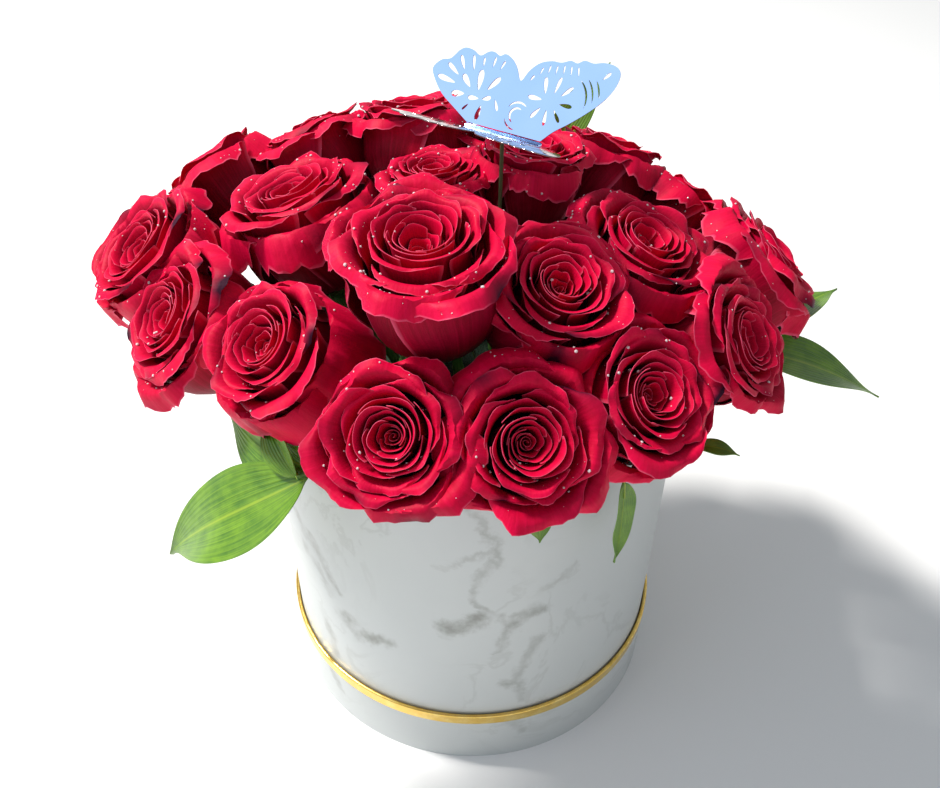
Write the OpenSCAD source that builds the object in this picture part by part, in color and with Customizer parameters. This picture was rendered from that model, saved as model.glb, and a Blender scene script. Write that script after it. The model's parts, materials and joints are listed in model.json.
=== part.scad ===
// Round flower box: a marbled hat box standing in its own upturned lid, packed with
// roses and leaves in wet foam, with a folded card butterfly on a pick.
// Millimetres, +Z up. The origin is the centre of the lid's resting face.

/* [Box] */
// Outside diameter of the wrapped box
box_d = 197; // [150:1:260]
// Height of the box from its underside to its rim
box_h = 193; // [140:1:260]
// Thickness of the wound board of the box wall
box_board = 2.4; // [1.6:0.1:4]
// Thickness of the board disc in the bottom of the box
base_board = 2; // [1:0.1:4]
// Thickness of the printed paper and of the lining
paper = 0.3; // [0.2:0.05:0.5]
// Depth that the printed paper is turned in over the rim
turn_in = 14; // [8:1:30]

/* [Lid] */
// Height of the upturned lid, gold edging included
lid_h = 37.2; // [25:0.2:60]
// Thickness of the lid's wall
lid_board = 1.1; // [0.8:0.1:3]
// Thickness of the lid's round panel
panel_board = 2; // [1:0.1:4]
// Gap between the box and the inside of the lid
lid_clear = 0.5; // [0.3:0.1:2]
// Height of the rounded gold edging
trim_h = 6.8; // [3:0.1:10]
// How far the gold edging stands proud of the wrapped lid
trim_proud = 0.6; // [0.2:0.1:2]

/* [Liner and foam] */
// Wall of the waterproof liner
liner_wall = 0.8; // [0.5:0.1:2]
// Gap between the liner and the inside of the box
liner_clear = 1; // [0.5:0.1:3]
// Depth of the liner's edge below the rim of the box
liner_drop = 16; // [8:1:30]
// Gap between the foam and the liner
foam_clear = 0.8; // [0.4:0.1:3]
// Depth of the top of the foam below the rim of the box
foam_drop = 26; // [18:1:45]

/* [Roses] */
// Open width of a standard bloom: the dome of blooms grows with it
bloom_w = 54; // [42:1:66]
// Height of a bloom as a share of its open width
bloom_tall = 0.82; // [0.7:0.01:0.9]
// Width that a bloom keeps between its neighbours, as a share of its open width
bloom_packed = 0.8; // [0.7:0.01:0.82]
// Height of the green calyx under a bloom
calyx_h = 5; // [3:0.5:8]
// Diameter of a rose stem
stem_d = 5; // [3:0.5:7]
// How much thicker a stem is at its joint, where a leaf was stripped
joint_swell = 0.8; // [0.4:0.1:2]
// Depth of a stem in the foam
stem_in = 55; // [25:1:90]

/* [Leaves] */
// Thickness of a leaf
leaf_t = 0.8; // [0.5:0.1:1.5]
// Diameter of a leaf's stalk
stalk_d = 2; // [1.2:0.1:3]
// Depth of a stalk in the foam
stalk_in = 25; // [10:1:60]

/* [Butterfly] */
// Length of a wing along the fold
wing_l = 80; // [50:1:110]
// Reach of a wing away from the fold
wing_w = 33; // [22:1:48]
// Thickness of the mirror card
card_t = 0.5; // [0.3:0.1:1]
// Width of the flat strip between the two folds
spine_w = 2.6; // [2:0.1:6]
// Rise of the far wing above level, in degrees
far_rise = 62; // [35:1:80]
// Rise of the near wing above level, in degrees
near_rise = 24; // [5:1:60]
// Diameter of the pick that holds the butterfly
pick_d = 1.6; // [1:0.1:3]

/* [Hidden] */
$fn = 64;
fit = 0.1;

// Levels, from the resting face up
panel_z = paper;
seat_z = panel_z + panel_board;
rim_z = seat_z + box_h;
base_z = seat_z + paper;
liner_z = base_z + base_board;
foam_z = liner_z + liner_wall;
foam_top = rim_z - foam_drop;
trim_z = lid_h - trim_h;

// Radii, from the box outwards and then inwards
box_r = box_d / 2;
wall_r = box_r - paper;
wall_in = wall_r - box_board;
mouth_r = wall_in - paper;
liner_r = mouth_r - liner_clear;
foam_r = liner_r - liner_wall - foam_clear;
lid_in = box_r + lid_clear;
lid_r = lid_in + lid_board;
wrap_r = lid_r + paper;
trim_r = wrap_r + trim_proud;

// The dome of blooms is laid out for standard blooms of this open width, at about this
// radius where its outer blooms pass the rim
drawn_for = 54;
dome_r = 115;
grow = bloom_w / drawn_for;

// Each bloom: azimuth, reach of its face from the axis, rise of the face above the rim,
// lean from upright, open width, and how far round from its azimuth it leans, if it does
ROSES = [
    [-105,  76, 92, 12, 62], [ -66,  77, 74, 29, 54], [ -28,  76, 73, 24, 54],
    [ 178,  80, 72, 18, 60], [-104, 121, 40, 50, 54], [ -81, 121, 40, 50, 54],
    [ -55, 115, 42, 46, 56], [ -30, 122, 44, 55, 52], [-137, 110, 48, 42, 56],
    [-162, 135, 37, 50, 54, 14], [ 180, 150, 46, 40, 56, 25], [   4, 134, 42, 46, 56],
    [ 165,  19, 82,  5, 44], [ 115,  72, 86, 18, 54], [ 140, 106, 72, 32, 48],
    [ 153, 150, 51, 46, 54], [  35,  30, 87,  6, 48], [  46,  92, 67, 26, 54],
    [  27, 118, 46, 46, 46], [  58, 130, 36, 56, 54], [  88, 118, 42, 50, 54],
    [ 114, 128, 40, 54, 54], [ 133, 148, 28, 62, 48], [  72,  64, 76, 16, 50],
];

// Each leafy sprig: azimuth at which it crosses the rim, then its tip's azimuth, reach
// beyond the wall of the box and rise above the rim
SPRIGS = [
    [-121, -125, 20.5,  0], [ -77,  -77,  8.5, -2], [ -60,  -58, 12.5, -1],
    [ -42,  -41, 18.5,  2], [ -12,   -6, 16.5,  3], [  42,   38, 13.5, -2],
    [  73,   72, 17.5, 40], [ 101,  102, 12.5,  0], [ 163,  160, 12.5, -2],
];

// Each leaf: its sprig, share of the way from rim to tip, heading, droop below level,
// roll about its own length, length, width
LEAVES = [
    [0, 0.75,  176,  38, -35, 94, 36],
    [0, 0.60,  141,   4, -68, 56, 28],
    [0, 1.00,  125, -22, -60, 32, 14],
    [0, 0.15, -116,  76,   0, 20,  9],
    [1, 1.00,  -75,  66,   0, 18, 11],
    [2, 1.00,  -50,  80,   0, 46, 12],
    [3, 1.00,  -10,   0,  10, 18,  8],
    [4, 0.90,    5,  16,   8, 86, 30],
    [4, 1.00,   38,   1,  -6, 82, 26],
    [4, 0.50,  -30,  26,   0, 36, 15],
    [5, 1.00,   34,  44,   0, 62, 24],
    [6, 1.00,   21, -54,  60, 58, 18],
    [7, 1.00,  112,  36,  15, 86, 34],
    [8, 1.00,  176,  32, -12, 82, 32],
];

// The middle of the butterfly's fold, above the rim, and the fold's heading
fold_at = [9, -11, 104];
fold_turn = -33;

function arm(az, reach) = [reach * cos(az), reach * sin(az)];
function at(az, reach, z) = concat(arm(az, reach), z);
function lie(az, lean) = [sin(lean) * cos(az), sin(lean) * sin(az), cos(lean)];

function bloom_face(r) = at(r[0], r[1] * grow, rim_z + r[2] * grow);
function bloom_open(r) = r[4] * grow;
function lean_az(r) = r[0] + (len(r) > 5 ? r[5] : 0);
function bloom_deep(r) = bloom_open(r) * bloom_tall;
function stem_top(r) = bloom_face(r) - (bloom_deep(r) + calyx_h) * lie(lean_az(r), r[3]);
// A stem passes the mouth inside the box, whatever the reach of its bloom, and turns
// outwards above the rim
neck_up = 6;
function stem_neck(r) =
    at(r[0], min(0.62 * r[1] * grow, mouth_r - stem_d - 2), rim_z + neck_up);
// It stands upright in the foam and bends just above it
bend_up = 6;
function foot_at(r, z) = at(r[0], min(0.45 * r[1] * grow, foam_r - stem_d * 2), z);

// A sprig stands upright in the foam, bends below the blooms, crosses just above the
// rim and ends in a tip outside the box
over_rim = stalk_d + 1;
function sprig_at(p, z) = at(p[0], foam_r - 9, z);
function sprig_knee(p) = at(p[0], mouth_r - 5, rim_z + over_rim);
function sprig_fork(p) = at(p[0], box_r + 2, rim_z + over_rim);
function sprig_tip(p) = at(p[1], box_r + p[2] + dome_r * (grow - 1), rim_z + p[3] * grow);
function leaf_base(f) =
    sprig_fork(SPRIGS[f[0]]) * (1 - f[1]) + sprig_tip(SPRIGS[f[0]]) * f[1];

fold_mid = [fold_at[0] * grow, fold_at[1] * grow, rim_z + fold_at[2] * grow];
pick_end = [fold_mid[0], fold_mid[1], foam_top - stalk_in];
pad_h = 1.6;
pick_top = fold_mid - [0, 0, card_t / 2 + pad_h];

// Radius of a bloom's cup at a share t of its height, as a share of its widest radius
function cup(t) = 0.33 + 0.67 * sin(120 * pow(t, 0.7));

function two_digits(i) = i < 9 ? str("0", i + 1) : str(i + 1);
function rose_name(i) = str("rose_", two_digits(i));
function leaf_name(i) = str("leaf_", two_digits(i));

module disc(z, t, r) {
    translate([0, 0, z]) cylinder(h = t, r = r, $fn = 128);
}

module tube(z, top, r_in, r_out) {
    rotate_extrude($fn = 128)
        translate([r_in, z]) square([r_out - r_in, top - z]);
}

module rod(p, q, d) {
    v = q - p;
    translate(p)
        rotate([0, acos(v[2] / norm(v)), atan2(v[1], v[0])])
            cylinder(h = norm(v), d = d, $fn = 24);
}

// ---- The lid, upturned under the box ----

module lid_face_paper() {
    color("whitesmoke") disc(0, paper, lid_r);
}

module lid_panel() {
    color("tan") disc(panel_z, panel_board, lid_in);
}

module lid_wall() {
    color("tan") tube(panel_z, trim_z, lid_in, lid_r);
}

module lid_wrap() {
    color("whitesmoke") tube(0, trim_z, lid_r, wrap_r);
}

// The edging is a flattened bead with fully rounded top and bottom
module lid_edging() {
    bead_t = trim_r - lid_in;
    color("gold")
        rotate_extrude($fn = 128)
            translate([lid_in, trim_z]) {
                translate([0, bead_t / 2]) square([bead_t, trim_h - bead_t]);
                for (z = [bead_t / 2, trim_h - bead_t / 2])
                    translate([bead_t / 2, z]) circle(d = bead_t, $fn = 32);
            }
}

// ---- The box ----

module box_wall() {
    color("tan") tube(base_z, rim_z - paper, wall_in, wall_r);
}

module box_base() {
    color("tan") disc(base_z, base_board, wall_in);
}

module box_base_paper() {
    color("white") disc(seat_z, paper, wall_r);
}

// Printed paper: up the outside, over the rim and down the inside
module box_wrap() {
    color("whitesmoke") {
        tube(seat_z, rim_z, wall_r, box_r);
        tube(rim_z - paper, rim_z, mouth_r, wall_r);
        tube(rim_z - turn_in, rim_z, mouth_r, wall_in);
    }
}

module box_lining() {
    color("white") tube(liner_z, rim_z - turn_in, mouth_r, wall_in);
}

// ---- Liner and foam ----

module liner() {
    color("lightgray") {
        disc(liner_z, liner_wall, liner_r);
        tube(liner_z, rim_z - liner_drop, liner_r - liner_wall, liner_r);
    }
}

// An upright socket in the foam, as deep as what stands in it
module socket(top, deep, d) {
    translate(top - [0, 0, deep + fit])
        cylinder(h = deep + bend_up, d = d + 2 * fit, $fn = 24);
}

module foam_block() {
    color("darkgreen")
        difference() {
            disc(foam_z, foam_top - foam_z, foam_r);
            for (r = ROSES)
                socket(foot_at(r, foam_top), stem_in, stem_d);
            for (p = SPRIGS)
                socket(sprig_at(p, foam_top), stalk_in, stalk_d);
            socket([pick_end[0], pick_end[1], foam_top], stalk_in, pick_d);
        }
}

// ---- Roses ----

// A bloom's packed cup, its face at the origin and its foot straight below
module bloom(open, deep) {
    widest = open * bloom_packed / 2;
    steps = 9;
    rotate_extrude($fn = 48)
        polygon(concat(
            [[0, 0], [0, -deep]],
            [for (i = [0:steps]) [widest * cup(i / steps), deep * (i / steps - 1)]]));
}

module place(r) {
    translate(bloom_face(r)) rotate([0, r[3], lean_az(r)]) children();
}

module rose(i) {
    r = ROSES[i];
    color("crimson") place(r) bloom(bloom_open(r), bloom_deep(r));
}

module rose_calyxes() {
    color("olivedrab")
        for (r = ROSES)
            place(r)
                translate([0, 0, -bloom_deep(r) - calyx_h])
                    cylinder(h = calyx_h, d1 = stem_d,
                             d2 = bloom_open(r) * bloom_packed * cup(0), $fn = 24);
}

module rose_stems() {
    color("green")
        for (r = ROSES) {
            bend = foot_at(r, foam_top + bend_up);
            rod(foot_at(r, foam_top - stem_in), bend, stem_d);
            rod(bend, stem_neck(r), stem_d);
            rod(stem_neck(r), stem_top(r), stem_d);
            for (p = [bend, stem_neck(r)])
                translate(p) sphere(d = stem_d + joint_swell, $fn = 24);
        }
}

// ---- Leaves ----

// A flat leaf between two arcs, from its base at the origin along +X
module blade(long, wide) {
    arc_r = (long * long + wide * wide) / (4 * wide);
    translate([long / 2, 0, -leaf_t / 2])
        linear_extrude(leaf_t)
            intersection_for (side = [-1, 1])
                translate([0, side * (arc_r - wide / 2)]) circle(r = arc_r, $fn = 128);
}

// A leaf grows from the side of its sprig
module leaf(i) {
    f = LEAVES[i];
    color("forestgreen")
        translate(leaf_base(f))
            rotate([0, 0, f[2]]) rotate([0, f[3], 0]) rotate([f[4], 0, 0])
                translate([stalk_d * 0.4, 0, 0]) blade(f[5] * grow, f[6] * grow);
}

module leaf_stalks() {
    color("yellowgreen")
        for (p = SPRIGS) {
            bend = sprig_at(p, foam_top + bend_up);
            rod(sprig_at(p, foam_top - stalk_in), bend, stalk_d);
            rod(bend, sprig_knee(p), stalk_d);
            rod(sprig_knee(p), sprig_fork(p), stalk_d);
            rod(sprig_fork(p), sprig_tip(p), stalk_d);
            for (q = [bend, sprig_knee(p), sprig_fork(p)])
                translate(q) sphere(d = stalk_d + joint_swell, $fn = 24);
        }
}

// ---- Butterfly ----

module on_fold() {
    translate(fold_mid) rotate([0, 0, fold_turn]) children();
}

module butterfly_spine() {
    long = wing_l * 0.44;
    color("silver")
        on_fold()
            translate([0, 0, -card_t / 2])
                linear_extrude(card_t) {
                    square([long - spine_w, spine_w], center = true);
                    for (x = [-1, 1])
                        translate([x * (long - spine_w) / 2, 0])
                            circle(d = spine_w, $fn = 24);
                }
}

module butterfly_pad() {
    color("white")
        translate(pick_top) cylinder(h = pad_h, d = spine_w + 2, $fn = 24);
}

module butterfly_pick() {
    color("burlywood") rod(pick_end, pick_top - [0, 0, pick_d / 4], pick_d);
}

// Outline of one wing, fold along X: two lobes of the hind wing at -X, two larger ones
// of the fore wing at +X, and the card between them, given as shares of length and width.
// Each lobe is [X of its middle, Y of its middle, radius as a share of the width]
LOBES = [[-0.38, 0.53, 0.30], [-0.12, 0.60, 0.26], [0.12, 0.64, 0.28], [0.385, 0.72, 0.28]];
WEB = [[-0.25, 0], [0.22, 0], [0.46, 0.5], [0.385, 0.94], [0.12, 0.86], [0, 0.6],
       [-0.12, 0.8], [-0.36, 0.78], [-0.46, 0.36]];

module wing_outline() {
    intersection() {
        union() {
            for (lobe = LOBES)
                translate([lobe[0] * wing_l, lobe[1] * wing_w])
                    circle(r = lobe[2] * wing_w);
            polygon([for (p = WEB) [p[0] * wing_l, p[1] * wing_w]]);
        }
        translate([-wing_l / 2, 0]) square([wing_l, wing_w]);
    }
}

// side is 1 for the far wing and -1 for the near one
module wing(side, rise) {
    color("lightsteelblue")
        on_fold()
            mirror([0, side < 0 ? 1 : 0, 0])
                translate([0, spine_w / 2 + fit * 3, 0])
                    rotate([rise, 0, 0])
                        linear_extrude(card_t, center = true)
                            translate([0, card_t / 2]) wing_outline();
}

module wing_far() {
    wing(1, far_rise);
}

module wing_near() {
    wing(-1, near_rise);
}

lid_panel();
lid_wall();
lid_face_paper();
lid_wrap();
lid_edging();
box_wall();
box_base();
box_base_paper();
box_wrap();
box_lining();
liner();
foam_block();
rose_stems();
rose_calyxes();
leaf_stalks();
butterfly_spine();
butterfly_pad();
butterfly_pick();
wing_far();
wing_near();
for (i = [0:len(ROSES) - 1]) rose(i);
for (i = [0:len(LEAVES) - 1]) leaf(i);
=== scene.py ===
"""Flower box: roses, leaves and a mirror-card butterfly in a marble-paper hat box.

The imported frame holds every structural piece. This script gives those pieces their finishes and
makes the ones whose look needs more than a plain solid: petals, sepals, leaf blades, dew and the
pierced wings. Each new shape is a function of two parameters, worked out as whole arrays.
"""
import json
import math

import bmesh
import bpy
import numpy as np
from mathutils import Euler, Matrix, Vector


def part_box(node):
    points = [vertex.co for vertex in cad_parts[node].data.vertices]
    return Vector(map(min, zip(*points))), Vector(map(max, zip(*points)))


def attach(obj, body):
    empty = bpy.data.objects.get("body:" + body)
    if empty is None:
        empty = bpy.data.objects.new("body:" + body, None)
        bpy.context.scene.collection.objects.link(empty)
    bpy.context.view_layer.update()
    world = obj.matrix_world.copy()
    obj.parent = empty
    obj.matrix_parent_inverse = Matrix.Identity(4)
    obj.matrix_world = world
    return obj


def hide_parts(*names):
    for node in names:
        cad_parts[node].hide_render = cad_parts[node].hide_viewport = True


bl_info = {
    "name": "Flower Box",
    "version": (1, 0, 0),
    "blender": (4, 5, 0),
    "location": "View3D > Sidebar > Flower Box",
    "description": "Roses, leaves and a mirror-card butterfly in a marble-paper hat box",
    "category": "Add Mesh",
}

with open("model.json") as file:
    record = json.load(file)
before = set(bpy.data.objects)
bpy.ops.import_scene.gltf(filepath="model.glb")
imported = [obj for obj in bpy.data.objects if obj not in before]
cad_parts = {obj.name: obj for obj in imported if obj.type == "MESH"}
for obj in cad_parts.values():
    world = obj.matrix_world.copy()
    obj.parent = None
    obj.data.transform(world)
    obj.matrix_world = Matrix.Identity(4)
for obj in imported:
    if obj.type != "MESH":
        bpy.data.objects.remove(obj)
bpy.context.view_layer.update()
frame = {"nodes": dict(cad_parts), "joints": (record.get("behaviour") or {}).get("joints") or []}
NODES = frame["nodes"]
JOINTS = {j["name"]: j for j in frame["joints"]}
ROSES = sorted(n for n in NODES if n.startswith("rose_") and n[5:].isdigit())
LEAVES = sorted(n for n in NODES if n.startswith("leaf_") and n[5:].isdigit())
MM = 0.001
UP = np.array([0.0, 0.0, 1.0])

# Blooms whose outer petals differ: how far the guard petals hang, how open the heart is and
# how bruised the margins are, each from 0 to 1, and how blown the bloom is, as a scale
BLOOM_LOOKS = {
    "rose_01": (0.15, 0.55, 0.50, 1.04), "rose_02": (0.40, 0.75, 0.80, 1.04),
    "rose_03": (0.35, 0.80, 0.50, 1.02), "rose_04": (0.75, 0.65, 0.40, 1.08),
    "rose_05": (0.25, 0.85, 0.60, 1.00), "rose_06": (0.45, 0.60, 0.60, 1.02),
    "rose_07": (0.75, 0.65, 1.00, 1.04), "rose_08": (0.20, 0.80, 0.40, 1.04),
    "rose_09": (0.90, 0.50, 0.60, 1.05), "rose_10": (0.55, 0.60, 1.00, 1.14),
    "rose_11": (0.70, 0.60, 0.80, 1.16), "rose_12": (0.60, 0.55, 0.50, 1.12),
    "rose_14": (0.35, 0.60, 0.40, 1.10), "rose_15": (0.40, 0.60, 0.40, 1.10),
    "rose_16": (0.70, 0.60, 0.60, 1.18),
}
PLAIN_LOOK = (0.40, 0.60, 0.50, 1.04)


# ---- Shapes ----

def unit(v):
    """The vector or rows of vectors at length 1."""
    v = np.asarray(v, float)
    return v / np.maximum(np.linalg.norm(v, axis=-1, keepdims=True), 1e-12)


def smooth(x):
    """A soft step from 0 at x = 0 to 1 at x = 1."""
    x = np.clip(x, 0, 1)
    return x * x * (3 - 2 * x)


def through(points, t):
    """The smooth curve through the points (Catmull-Rom), at shares t of the way along it."""
    p = np.asarray(points, float)
    p = np.vstack([2 * p[0] - p[1], p, 2 * p[-1] - p[-2]])
    x = np.clip(t, 0, 1) * (len(p) - 3)
    i = np.minimum(x.astype(int), len(p) - 4)
    f = (x - i)[..., None]
    a, b, c, d = p[i], p[i + 1], p[i + 2], p[i + 3]
    cubic = (3 * b - a - 3 * c + d) * f ** 3
    square = (2 * a - 5 * b + 4 * c - d) * f ** 2
    return 0.5 * (2 * b + (c - a) * f + square + cubic)


def sheet_normals(p):
    """Unit normals of a grid p[v, u]: the step along u crossed with the step along v."""
    across = np.gradient(p, axis=1)
    along = np.gradient(p, axis=0)
    return unit(np.cross(across, along))


def closed_sheet(p, thick):
    """A sheet p[v, u] given a thickness: its front and back grids, joined round the margin.

    Front and back are p plus and minus half the thickness along the normals. Returns points
    and quads, all facing outwards."""
    rows, cols = p.shape[:2]
    half = np.broadcast_to(np.asarray(thick, float) / 2, (rows, cols))[..., None]
    normal = sheet_normals(p)
    points = np.concatenate([(p + normal * half).reshape(-1, 3), (p - normal * half).reshape(-1, 3)])
    at = np.arange(rows * cols).reshape(rows, cols)
    a, b, c, d = at[:-1, :-1], at[:-1, 1:], at[1:, 1:], at[1:, :-1]
    front = np.stack([a, b, c, d], -1).reshape(-1, 4)
    back = front[:, ::-1] + rows * cols
    ring = np.concatenate([at[0, :-1], at[:-1, -1], at[-1, :0:-1], at[:0:-1, 0]])
    after = np.roll(ring, -1)
    rim = np.stack([ring, ring + rows * cols, after + rows * cols, after], -1)
    return points, np.concatenate([front, back, rim])


def both(values):
    """Values of a sheet's grid, given to its front and its back."""
    return np.tile(np.ravel(values), 2)


def revolve(profile, turns=24):
    """A closed solid turned round Z from a profile of (radius, height) that starts and ends on it."""
    profile = np.asarray(profile, float)
    angle = np.linspace(0, 2 * math.pi, turns, endpoint=False)
    inner = profile[1:-1]
    ring = np.stack([inner[:, None, 0] * np.cos(angle), inner[:, None, 0] * np.sin(angle),
                     np.repeat(inner[:, 1, None], turns, 1)], -1)
    points = np.vstack([ring.reshape(-1, 3), [0, 0, profile[0, 1]], [0, 0, profile[-1, 1]]])
    at = np.arange(ring.shape[0] * turns).reshape(-1, turns)
    nxt = np.roll(at, -1, 1)
    faces = np.stack([at[:-1], nxt[:-1], nxt[1:], at[1:]], -1).reshape(-1, 4).tolist()
    low, high = len(points) - 2, len(points) - 1
    faces += [[low, int(q), int(p)] for p, q in zip(at[0], nxt[0])]
    faces += [[high, int(p), int(q)] for p, q in zip(at[-1], nxt[-1])]
    return points, faces


class Heap:
    """Many small closed shapes gathered into one mesh, with values carried by its points."""

    def __init__(self):
        self.points, self.faces, self.values, self.count = [], [], {}, 0

    def add(self, points, faces, **values):
        self.points.append(points)
        self.faces += [[int(i) + self.count for i in f] for f in faces]
        for name, value in values.items():
            self.values.setdefault(name, []).append(np.broadcast_to(value, len(points)))
        self.count += len(points)

    def piece(self, name, material, body, replaces=(), sharp=60):
        """Makes the mesh object, rides it on its body and hides the parts that it stands for."""
        mesh = bpy.data.meshes.new(name)
        mesh.from_pydata(np.concatenate(self.points), [], self.faces)
        for key, value in self.values.items():
            layer = mesh.attributes.new(key, "FLOAT", "POINT")
            layer.data.foreach_set("value", np.concatenate(value).astype(np.float32))
        mesh.polygons.foreach_set("use_smooth", np.ones(len(mesh.polygons), bool))
        mesh.set_sharp_from_angle(angle=math.radians(sharp))
        mesh.materials.append(material)
        mesh.update()
        thing = place_new(name, mesh)
        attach(thing, body)
        if replaces:
            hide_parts(*replaces)
        return thing


def place_new(name, data):
    """A new object that holds the data, linked to the scene."""
    thing = bpy.data.objects.new(name, data)
    bpy.context.scene.collection.objects.link(thing)
    return thing


def read(things, key, width=3):
    """One property of all a mesh's vertices or polygons, as rows."""
    values = np.empty(len(things) * width)
    things.foreach_get(key, values)
    return values.reshape(-1, width)


def corners(node):
    """The points of a node's mesh as rows."""
    return read(NODES[node].data.vertices, "co")


def facets(mesh):
    """The normal, middle and area of each face of a mesh, as rows."""
    faces = mesh.polygons
    return read(faces, "normal"), read(faces, "center"), read(faces, "area", 1)


def largest_flat(node):
    """The direction that the largest flat area of a node's mesh faces, and that area's middle."""
    normal, middle, area = facets(NODES[node].data)
    _, group = np.unique(normal.round(3), axis=0, return_inverse=True)
    group = group.reshape(-1)
    found = group == np.bincount(group, area[:, 0]).argmax()
    centre = (middle[found] * area[found]).sum(0) / area[found].sum()
    return unit((normal[found] * area[found]).sum(0)), centre


class Bloom:
    """Where a rose stands: the middle of its foot, its axis, two directions across, its height
    and the radius of its packed cup, all read from its solid in the frame."""

    def __init__(self, node):
        self.name = node
        self.axis, face = largest_flat(node)
        out = corners(node) - face
        along = out @ self.axis
        self.high = -along.min()
        self.packed = np.linalg.norm(out - along[:, None] * self.axis, axis=1).max()
        self.foot = face - self.axis * self.high
        self.across = unit(np.cross(UP, self.axis) if abs(self.axis[2]) < 0.999 else [1, 0, 0])
        self.over = np.cross(self.axis, self.across)
        self.number = int(node[-2:])

    def place(self, p):
        """Points in the bloom's own frame, axis along Z, to the row frame."""
        return self.foot + p[..., :1] * self.across + p[..., 1:2] * self.over + p[..., 2:] * self.axis


# ---- Roses ----

GOLDEN_ANGLE = math.radians(137.5)
SEPALS = 5


def margins(count, fine=0.02):
    """Grid lines from 0 to 1 with one more close to 1, so that a margin's colour is narrow."""
    return np.append(np.linspace(0, 1 - fine, count - 1), 1.0)


def petal(bloom, ring, turn, look, dice, set_up):
    """One petal as a grid in the bloom's frame.

    u runs across it and v from its foot to its margin. The midline is a smooth curve of
    radius against height through six points: foot, swell, wall, throat, shoulder and margin.
    The length falls off with the power 2.6 of u, which rounds the petal, and the flare falls
    off too, which draws it to a point. The half width is an angle round the bloom that grows
    up to three quarters of the way along. One side lies further out than the other, so each
    petal laps over the next. Waves that grow with the fifth power of v ruffle the margin."""
    droop, heart, _, blown = look
    wide = bloom.packed / set_up.packing * blown
    u = np.linspace(-1, 1, set_up.grid_across)[None, :]
    u = np.sign(u) * np.where(np.abs(u) == 1, 1, np.abs(u) * 0.985)
    v = margins(set_up.grid_along)[:, None]
    outer = smooth((ring - 0.40) / 0.60)
    wall = wide * (0.035 + (0.34 + 0.16 * heart) * ring + (0.44 - 0.16 * heart) * ring ** 2)
    flare = wide * (0.035 + 0.05 * ring + 0.27 * outer) * dice.uniform(0.75, 1.2)
    rim = wall + flare
    tall = bloom.high * (0.88 + 0.18 * smooth(ring / 0.5) - 0.03 * outer + dice.uniform(-0.035, 0.035))
    fall = bloom.high * (0.11 * outer ** 1.5 * dice.uniform(0.2, 1.3) - 0.02)
    if ring > 0.86:
        fall += bloom.high * 0.42 * droop * dice.uniform(0.1, 1.3)
        tall -= bloom.high * 0.14 * droop
    midline = [
        (wide * 0.07, 0.0),
        (wide * 0.10 + wall * 0.68, tall * 0.20),
        (wall * 1.06, tall * 0.54),
        (wall * 0.99 + flare * 0.06, tall * 0.82),
        (wall + flare * 0.52, tall * 0.985),
        (rim, tall - fall),
    ]
    notch = 0.014 * np.sin(u * dice.uniform(12, 20) + dice.uniform(0, 6))
    notch = notch + 0.011 * np.sin(u * dice.uniform(29, 43) + dice.uniform(0, 6))
    peak = dice.uniform(-0.25, 0.25)
    lean = np.abs(u - peak * (1 - u ** 2))
    length = 1 - (0.16 + 0.10 * outer) * lean ** 2.6 - (0.3 + outer) * notch
    t = v * length
    curve = through(midline, t)
    radius, height = curve[..., 0], curve[..., 1]
    high_up = smooth(t * 2.4 - 1.4)
    radius = radius - flare * (0.30 + 0.35 * outer) * lean ** 1.4 * high_up
    height = height - wide * 0.11 * outer * lean ** 2.2 * high_up
    reach = np.radians(58 + 40 * (1 - ring) ** 1.5 + dice.uniform(-6, 8))
    shape = 0.42 + 0.58 * smooth(t / 0.75)
    lap = wide * (0.018 + 0.030 * ring)
    radius = radius + lap * u * smooth(t * 1.6)
    turns = dice.uniform(1.6, 3.2)
    swing = dice.uniform(0, 6)
    wave = np.sin(u * turns * math.pi + swing) * t ** 5
    ripple = np.sin(u * turns * 8 + swing * 2) * t ** 8
    bend = wide * (0.014 + 0.062 * outer) * wave + wide * 0.018 * outer * ripple
    angle = turn + u * reach * shape
    spread = np.maximum(radius, wide * 0.012) + bend * 0.6
    grid = np.stack([spread * np.cos(angle), spread * np.sin(angle), height + bend * 0.8], -1)
    return (grid, *np.broadcast_arrays(u, v))


def heart_scroll(bloom, set_up):
    """The rolled heart: one sheet wound two and a half turns, its radius growing evenly
    with the angle, its top rising and falling a little as it goes."""
    wide = bloom.packed / set_up.packing
    u = np.linspace(0, 1, 60)[None, :]
    v = margins(8)[:, None]
    angle = u * 5 * math.pi + bloom.number
    radius = wide * (0.012 + 0.085 * u) * (0.9 + 0.35 * v ** 3)
    top = bloom.high * (0.87 + 0.03 * np.sin(angle * 1.3))
    grid = np.stack([radius * np.cos(angle), radius * np.sin(angle),
                     bloom.high * 0.15 + v * (top - bloom.high * 0.15)], -1)
    return (grid, *np.broadcast_arrays(u * 2 - 1, v))


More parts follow.
